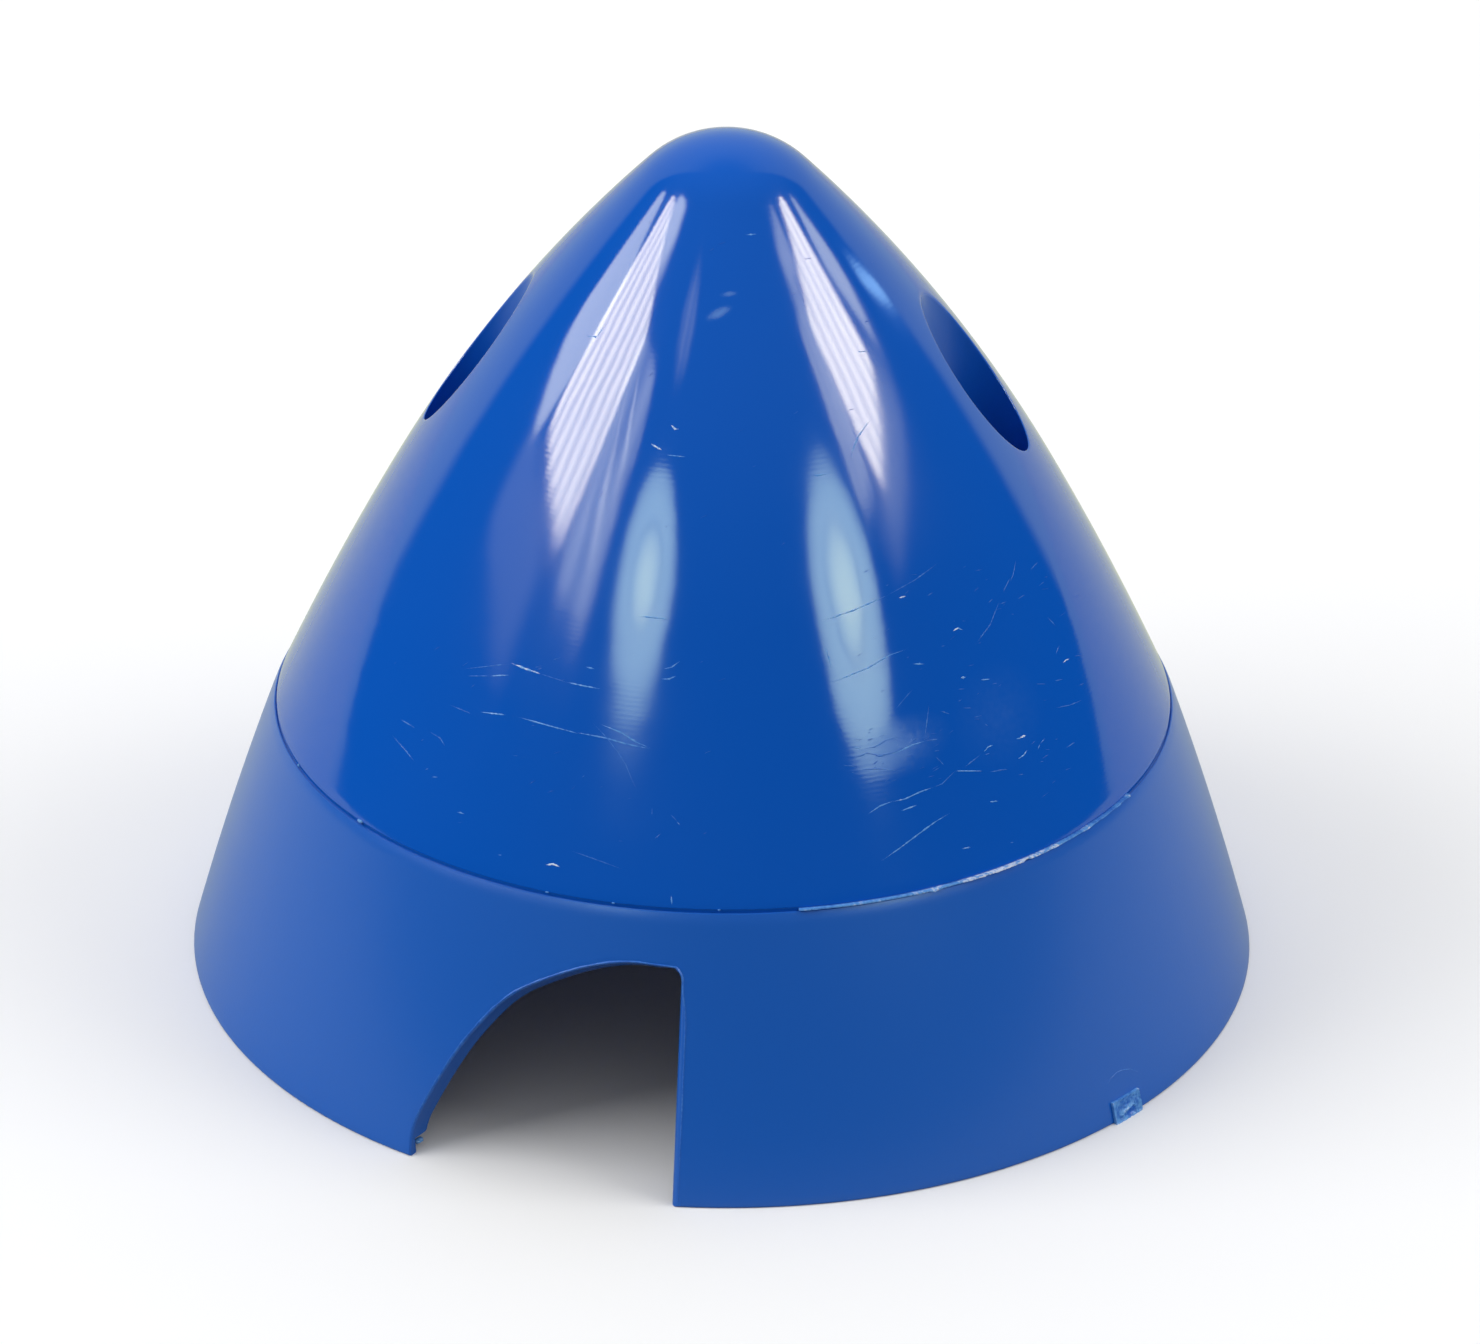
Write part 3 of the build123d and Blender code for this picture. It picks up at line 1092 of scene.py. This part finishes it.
def polished_plastic():
    material, tree, surface = new_material("moulded_abs_polished")
    place = add_node(tree, "TexCoord").outputs["Object"]
    height = add_node(tree, "SeparateXYZ", {0: place}).outputs["Z"]
    rings_place = add_node(tree, "CombineXYZ", {"Z": height})
    rings = add_node(tree, "TexWave", {
        "Vector": rings_place, "Scale": pi / 10 / ring_pitch,
        "Distortion": 2.0, "Detail": 2.0}, bands_direction="Z")
    waves = add_node(tree, "TexNoise", {"Vector": place, "Scale": 1 / wave_size, "Detail": 2.0})
    rough = add_node(tree, "TexNoise", {"Vector": place, "Scale": 1 / dull_size, "Detail": 5.0})
    dust = add_node(tree, "TexNoise", {"Vector": place, "Scale": 1 / dust_size, "Detail": 3.0})
    turned = add_node(tree, "Bump", {"Height": rings.outputs["Fac"], "Distance": ring_relief})
    bent = add_node(tree, "Bump", {"Height": waves.outputs["Fac"], "Distance": wave_relief, "Normal": turned})
    bent = add_node(tree, "Bump", {"Height": dust.outputs["Fac"], "Distance": dust_relief, "Normal": bent})
    worn = 0.0
    for pixel, reach, turn, strength in smudge_places:
        mask = patch_mask(tree, place, pixel, reach, turn, strength)
        worn = add_node(tree, "Math", {0: mask, 1: worn}, operation="MAXIMUM")
    speckled = add_node(tree, "Math", {0: dust.outputs["Fac"], 1: 2.0}, operation="MULTIPLY")
    worn = add_node(tree, "Math", {0: worn, 1: speckled}, operation="MULTIPLY")
    shade = add_node(tree, "Mix", {"Factor": worn, "A": blue, "B": stressed}, data_type="RGBA")
    finish = add_node(tree, "MapRange", {
        "Value": rough.outputs["Fac"], "From Min": 0.3, "From Max": 0.7,
        "To Min": least_rough, "To Max": most_rough}, interpolation_type="SMOOTHSTEP")
    finish = add_node(tree, "Math", {0: worn, 1: wear_dulls, 2: finish}, operation="MULTIPLY_ADD")
    set_inputs(surface, {
        "Base Color": shade.outputs["Result"], "Roughness": finish, "Normal": bent, "IOR": plastic_ior})
    return material


polished = polished_plastic()
print("shaded:", polished.name)

# %% [markdown]
# The satin half has a much finer and stronger relief, which spreads every reflection into a soft sheen. Its
# roughness is one value, because a roughness that varies drew contour lines on it. The torn plastic is blue
# where it isn't worn, and pales with the value that each vertex carries: whitening of scratched and torn
# plastic, and on the gate and the lips also painted highlight and painted shade.

# %% Shade the satin ring and the torn plastic
grain_size, grain_relief = 0.16 * MM, 0.003 * MM    # spark-eroded grain
crack_size = 0.2 * MM
satin_roughness, torn_roughness = 0.275, 0.4
torn_gloss = 0.25                                   # a torn face has little gloss


def satin_plastic():
    material, tree, surface = new_material("moulded_abs_satin")
    place = add_node(tree, "TexCoord").outputs["Object"]
    grain = add_node(tree, "TexNoise", {"Vector": place, "Scale": 1 / grain_size, "Detail": 3.0})
    bent = add_node(tree, "Bump", {"Height": grain.outputs["Fac"], "Distance": grain_relief})
    set_inputs(surface, {
        "Base Color": satin_blue, "Roughness": satin_roughness, "Normal": bent, "IOR": plastic_ior})
    return material


def torn_plastic():
    """Each vertex carries its own paleness, from 0 for blue to 1 for fully whitened: whitening of scratched
    and torn plastic, and on the gate and the lips also painted highlight and painted shade.
    """
    material, tree, surface = new_material("torn_abs")
    place = add_node(tree, "TexCoord").outputs["Object"]
    # this per-vertex value is whitening, and on the gate and the lips also painted highlight and painted
    # shade
    wear_and_painted_light = add_node(tree, "Attribute", attribute_name="wear_and_painted_light").outputs["Fac"]
    cracks = add_node(tree, "TexNoise", {"Vector": place, "Scale": 1 / crack_size, "Detail": 4.0})
    uneven = add_node(tree, "MapRange", {
        "Value": cracks.outputs["Fac"], "From Min": 0.35, "From Max": 0.65, "To Min": 0.55, "To Max": 1.25})
    share = add_node(tree, "Math", {0: wear_and_painted_light, 1: uneven}, operation="MULTIPLY", use_clamp=True)
    paled = add_node(tree, "ValToRGB", {0: share}, ((0.0, blue), (0.5, stressed), (1.0, whitened)))
    set_inputs(surface, {
        "Base Color": paled, "Roughness": torn_roughness, "IOR": plastic_ior,
        "Specular IOR Level": torn_gloss})
    return material


satin, torn = satin_plastic(), torn_plastic()
print("shaded:", satin.name, "and", torn.name)

# %% [markdown]
# ## Giving out the materials
#
# The shell gets its two finishes in the order of their numbers. All that is torn or raised gets the
# whitened plastic. Every piece rides on the frame's one body.

# %% Hand out the materials and join the frame
shell.data.materials.append(polished)
shell.data.materials.append(satin)
for piece in (flash, gate, specks, scuffs, lips):
    piece.data.materials.append(torn)
for piece in (shell, flash, gate, specks, scuffs, lips):
    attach(piece, "root")
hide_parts("spinner_cone")
print("materials:", ", ".join(material.name for material in bpy.data.materials if material.users))

# %% [markdown]
# ## The studio
#
# The spinner stands on a white sheet, in front of a white backdrop. Two large softboxes stand to
# its left and right, and two round reflectors nearer to the camera. A polished dome is a map of the
# room, so every patch of light on it tells where a lamp stands and what its face looks like.
#
# Each lamp is split in two. The lamps light the plastic and are hidden from reflections. The cards
# are only seen in reflections, and carry the look of each lamp's face. That way the level of light
# and the shape of the highlights are set one at a time.

# %% Lay the sheet
floor_reach = 0.9                  # metres, as all of the studio
floor_white = paint("#FAFAFA")     # as the camera sees it
floor_mirrored = paint("#D6D9B8")  # as the gloss sees it
floor_bounce = paint("#ACACAC")    # as it lights the spinner from below
table_dark = paint("#3A3A3C")      # the table in front of the sheet
paper_roughness = 0.9
sheet_front, sheet_fade = 46 * MM, 14 * MM   # the sheet ends here, just below the picture's lower edge


def make_floor():
    """White sheet; past its front edge only reflections and bounced light find the darker table."""
    bm = bmesh.new()
    bmesh.ops.create_circle(bm, cap_ends=True, radius=floor_reach, segments=96)
    floor = object_from(bm, "floor")
    card, tree, surface = new_material("white_card")
    place = add_node(tree, "TexCoord").outputs["Object"]
    towards_camera = (sin(camera_azimuth), -cos(camera_azimuth), 0)
    ahead = add_node(tree, "VectorMath", {0: place, 1: towards_camera}, operation="DOT_PRODUCT")
    on_sheet = add_node(tree, "MapRange", {
        "Value": ahead.outputs["Value"], "From Min": sheet_front, "From Max": sheet_front + sheet_fade,
        "To Min": 1.0, "To Max": 0.0})
    rays = add_node(tree, "LightPath")
    seen = add_node(tree, "Math", {0: on_sheet, 1: rays.outputs["Is Camera Ray"]}, operation="MAXIMUM")
    sheet = add_node(tree, "Mix", {
        "Factor": rays.outputs["Is Camera Ray"], "A": floor_mirrored, "B": floor_white}, data_type="RGBA")
    sheet = add_node(tree, "Mix", {
        "Factor": rays.outputs["Is Diffuse Ray"], "A": sheet.outputs["Result"], "B": floor_bounce},
        data_type="RGBA")
    sheet = add_node(tree, "Mix", {
        "Factor": seen, "A": table_dark, "B": sheet.outputs["Result"]}, data_type="RGBA")
    set_inputs(surface, {
        "Base Color": sheet.outputs["Result"], "Roughness": paper_roughness, "Specular IOR Level": 0.0})
    floor.data.materials.append(card)


make_floor()
print(f"a sheet {2 * floor_reach:.1f} m across")

# %% [markdown]
# The backdrop is in the world's shader. Camera rays find plain white. Reflections find the pale
# backdrop, which fades as it rises, and a little of the ceiling. Diffuse rays find an even fill,
# with more light from the backdrop's side.

# %% Hang the backdrop
fill_level = 0.47                        # even light from the whole room
backdrop_level = 0.46                    # more light from the backdrop's side, behind the spinner
lobe_edges = (0.2, 0.7)                  # that light fades between these cosines of the angle from its middle
backdrop_rise = radians(25)              # its middle is this high
backdrop_azimuth = camera_azimuth + pi
backdrop_edges = (0.52, 0.60)            # cosine of its half width, outside and inside the soft edge
backdrop_fade = ((0.0, 0.60), (0.5, 0.51), (0.77, 0.47), (0.86, 0.38), (0.93, 0.22), (0.97, 0.13))
backdrop_tint = (1.08, 1.26, 0.82)       # the white paper as the blue gloss shows it
ceiling_fade = ((0.0, 0.0), (0.5, 0.02), (0.8, 0.11), (1.0, 0.14))   # sine of the elevation, strength
behind = Vector((sin(backdrop_azimuth), -cos(backdrop_azimuth), 0))


def mirrored_room(tree, direction):
    """Strength that reflections find: the backdrop, fading as it rises, and a dim ceiling."""
    height = add_node(tree, "SeparateXYZ", {0: direction}).outputs["Z"]
    level = add_node(tree, "VectorMath", {0: direction, 1: (1, 1, 0)}, operation="MULTIPLY")
    level = add_node(tree, "VectorMath", {0: level}, operation="NORMALIZE")
    facing = add_node(tree, "VectorMath", {0: level, 1: behind}, operation="DOT_PRODUCT")
    width = add_node(tree, "MapRange", {
        "Value": facing.outputs["Value"], "From Min": backdrop_edges[0], "From Max": backdrop_edges[1]},
        interpolation_type="SMOOTHSTEP")
    under = add_node(tree, "Math", {0: height, 1: 0.0}, operation="LESS_THAN")
    width = add_node(tree, "Math", {0: width, 1: under}, operation="MAXIMUM")
    fade = add_node(tree, "ValToRGB", {0: height}, backdrop_fade)
    backdrop = add_node(tree, "Math", {0: width, 1: fade}, operation="MULTIPLY")
    ceiling = add_node(tree, "ValToRGB", {0: height}, ceiling_fade)
    return add_node(tree, "Math", {0: backdrop, 1: ceiling}, operation="MAXIMUM")


def room_fill(tree, direction):
    """Strength that diffuse rays find: even, with a broad brighter patch round the backdrop's middle."""
    raised = behind * cos(backdrop_rise) + Vector((0, 0, sin(backdrop_rise)))
    lobe = add_node(tree, "VectorMath", {0: direction, 1: raised}, operation="DOT_PRODUCT")
    return add_node(tree, "MapRange", {
        "Value": lobe.outputs["Value"], "From Min": lobe_edges[0], "From Max": lobe_edges[1],
        "To Min": fill_level, "To Max": fill_level + backdrop_level}, interpolation_type="SMOOTHSTEP")


def make_world():
    world = bpy.data.worlds.new("studio")
    bpy.context.scene.world = world
    world.use_nodes = True
    tree = world.node_tree
    direction = add_node(tree, "TexCoord").outputs["Generated"]
    rays = add_node(tree, "LightPath").outputs
    tint = add_node(tree, "Mix", {
        "Factor": rays["Is Glossy Ray"], "A": [1, 1, 1, 1], "B": [*backdrop_tint, 1]}, data_type="RGBA")
    mirrored = {0: rays["Is Glossy Ray"], 1: mirrored_room(tree, direction)}
    filled = {0: rays["Is Diffuse Ray"], 1: room_fill(tree, direction)}
    light = add_node(tree, "Math", {
        0: rays["Is Camera Ray"], 1: rays["Is Transmission Ray"]}, operation="MAXIMUM")
    for product in (mirrored, filled):
        more = add_node(tree, "Math", product, operation="MULTIPLY")
        light = add_node(tree, "Math", {0: light, 1: more}, operation="MAXIMUM")
    set_inputs(tree.nodes["Background"], {"Color": tint.outputs["Result"], "Strength": light})


make_world()
print("the backdrop is up")

# %% [markdown]
# ## Lamps and their faces
#
# A lamp is placed by the two angles that it is seen under from the spinner. The two lamps that give
# the light are plain rectangles, as large as a softbox.

# %% List the lamps
lamp_distance = 1.2
lamps = (                    # name, azimuth, elevation, width, height in degrees, and level at the part
    ("left_light", -58, 37, 50, 32, 0.480),
    ("right_light", 99, 40, 44, 28, 0.305),
)
print(f"{len(lamps)} lamps, {lamp_distance} m away")

# %% [markdown]
# The faces come next. Each patch of light on the dome was followed in its mirror direction, from
# the dome back into the room, and that gave the two angles of a face. A softbox has a bright front,
# side flaps and seams, and each of them is a face of its own.

# %% List the lamp faces
warm, grey = (16.5, 15.0, 11.3), (8, 8.2, 6.6)       # a softbox's lit front, and its side flaps
cool, glow = (7, 9.8, 7.8), (3.4, 3.6, 1.4)          # a round reflector, and its bright middle
sky_blue = (2.6, 4.8, 7.0)                           # a window
reflector_rings = (          # a round reflector's brightness from its middle to its rim
    (0.0, 0.84), (0.40, 0.84), (0.47, 0.58), (0.54, 0.88), (0.74, 0.80), (0.86, 0.60), (1.0, 0.0),
)
# azimuth, elevation, width, height and roll in degrees; colour, strength, rim, squareness, folds
cards = (
    # the left softbox: its front, two flaps, its top and bottom edge, and streaks along its folds
    (-58.0, 38.3, 31.5, 20.8, 0, warm, 1.22, 0.07, 10, 6.7),
    (-35.2, 36.4, 18.4, 22.4, 0, grey, 0.60, 0.15, 8, 2.0),
    (-80.5, 32.8, 19.0, 16.5, -8, grey, 0.90, 0.20, 6, 0),
    (-57.0, 51.0, 27.0, 8.5, 4, grey, 1.05, 0.60, 4, 0),
    (-63.0, 22.5, 34.0, 10.0, 0, grey, 0.13, 0.40, 4, 0),
    (-33.0, 41.2, 1.6, 12.0, 44, grey, 0.85, 0.80, 2, 0),
    (-33.9, 34.2, 3.2, 13.0, 24, grey, 0.85, 0.80, 2, 0),
    (-36.5, 38.0, 1.0, 13.0, 36, grey, 0.60, 0.80, 2, 0),
    (-30.0, 37.2, 0.9, 12.0, 30, grey, 0.50, 0.80, 2, 0),
    (-38.5, 31.5, 1.0, 9.0, 20, grey, 0.55, 0.80, 2, 0),
    (-25.6, 41.0, 1.2, 8.0, -6, grey, 0.50, 0.80, 2, 0),
    # the right softbox: its front, a flap, four streaks, the far flap, its bottom and top edge
    (100.2, 39.7, 27.0, 16.5, 3, warm, 1.42, 0.09, 8, 5.2),
    (82.0, 40.2, 9.5, 17.5, 0, grey, 0.75, 0.20, 8, 3.0),
    (88.0, 37.0, 0.9, 15.0, 4, grey, 0.90, 0.80, 2, 0),
    (85.4, 38.0, 0.8, 15.0, 4, grey, 0.80, 0.80, 2, 0),
    (83.0, 39.0, 0.8, 14.0, 3, grey, 0.70, 0.80, 2, 0),
    (79.4, 40.5, 0.7, 12.0, 2, grey, 0.60, 0.80, 2, 0),
    (121.4, 34.5, 11.0, 12.0, 20, grey, 0.80, 0.40, 4, 0),
    (101.0, 30.0, 44.0, 7.5, 2, grey, 0.24, 0.60, 4, 0),
    (88.0, 50.5, 20.0, 7.0, -6, grey, 0.60, 0.60, 4, 0),
    # two round reflectors, each with its bright middle
    (-10.2, 33.7, 23.0, 18.0, 0, cool, 1.00, 0.0, 2, 0),
    (-9.9, 33.4, 11.5, 9.0, 0, glow, 1.25, 0.75, 2, 0),
    (63.6, 30.7, 26.0, 20.4, 0, cool, 1.00, 0.0, 2, 0),
    (64.0, 30.4, 14.0, 12.0, 0, glow, 1.25, 0.75, 2, 0),
    # a window to the right, and a pale patch above the left reflector
    (138.6, 22.2, 3.2, 16.0, 50, sky_blue, 1.15, 0.50, 2, 0),
    (-13.0, 53.5, 15.0, 12.0, 0, grey, 0.26, 0.70, 2, 3.4),
)
fold_depth = 0.45            # how much darker the shaded side of a fold in the cloth is
fold_waviness = 1.2
print(f"{len(cards)} lamp faces")

# %% [markdown]
# A face is drawn in its own flat coordinates: a box or an oval with a soft rim, some rings for a
# round reflector, and the folds of a softbox's cloth, which show as stripes in the highlight.
# Squareness is a power: 2 gives an oval, and 8 nearly a box.

# %% Set up the lamps
def add_lamp(name, azimuth, elevation, width, height, roll=0.0):
    """Area lamp that faces the spinner, sized by the angles that it fills."""
    towards = Vector((sin(azimuth) * cos(elevation), -cos(azimuth) * cos(elevation), sin(elevation)))
    lamp = bpy.data.objects.new(name, bpy.data.lights.new(name, "AREA"))
    lamp.data.shape = "RECTANGLE"
    lamp.data.size = 2 * lamp_distance * tan(width / 2) * cos(elevation)
    lamp.data.size_y = 2 * lamp_distance * tan(height / 2)
    turned = towards.to_track_quat("Z", "Y").to_matrix() @ Matrix.Rotation(roll, 3, "Z")
    lamp.matrix_world = Matrix.Translation(towards * lamp_distance) @ turned.to_4x4()
    lamp.visible_camera = False
    bpy.context.scene.collection.objects.link(lamp)
    return lamp


def add_card(name, azimuth, elevation, width, height, roll, colour, strength, rim, squareness, folds):
    """A lamp's face as reflections show it."""
    lamp = add_lamp(name, azimuth, elevation, width, height, roll)
    lamp.visible_diffuse = False
    lamp.data.energy = pi * lamp.data.size * lamp.data.size_y
    lamp.data.use_nodes = True
    tree = lamp.data.node_tree
    place = add_node(tree, "NewGeometry").outputs["Parametric"]
    centred = add_node(tree, "VectorMath", {0: place, 1: (2, 2, 0), 2: (-1, -1, 0)},
                       operation="MULTIPLY_ADD")
    sides = add_node(tree, "VectorMath", {0: centred}, operation="ABSOLUTE")
    sides = add_node(tree, "SeparateXYZ", {0: sides})
    across = add_node(tree, "Math", {0: sides.outputs["X"], 1: squareness}, operation="POWER")
    up = add_node(tree, "Math", {0: sides.outputs["Y"], 1: squareness}, operation="POWER")
    reach = add_node(tree, "Math", {0: across, 1: up}, operation="ADD")
    reach = add_node(tree, "Math", {0: reach, 1: 1 / squareness}, operation="POWER")
    stops = reflector_rings if rim == 0 else ((0.0, 1.0), (1 - rim, 1.0), (1.0, 0.0))
    face = add_node(tree, "ValToRGB", {0: reach}, stops)
    if folds:
        cloth = add_node(tree, "TexWave", {
            "Vector": place, "Scale": folds * pi / 10, "Distortion": fold_waviness,
            "Detail": 1.0, "Detail Scale": 2.0}, bands_direction="X")
        shade = add_node(tree, "MapRange", {
            "Value": cloth.outputs["Fac"], "To Min": 1 - fold_depth, "To Max": 1.0})
        face = add_node(tree, "Math", {0: face, 1: shade}, operation="MULTIPLY")
    strongest = max(colour)
    radiance = add_node(tree, "Math", {0: face, 1: strongest * strength}, operation="MULTIPLY")
    set_inputs(tree.nodes["Emission"], {
        "Color": [c / strongest for c in colour] + [1], "Strength": radiance})


for name, *angles, level in lamps:
    lamp = add_lamp(name, *(radians(angle) for angle in angles))
    lamp.visible_glossy = False
    lamp.data.energy = level * pi**2 * lamp_distance**2
for number, (*angles, colour, strength, rim, squareness, folds) in enumerate(cards, 1):
    angles = [radians(angle) for angle in angles]
    add_card(f"card_{number}", *angles, colour, strength, rim, squareness, folds)

# %% [markdown]
# ## Finish
#
# The view transform is Standard, so that a colour renders as it is written.

# %% Set the view transform
bpy.context.scene.view_settings.view_transform = "Standard"
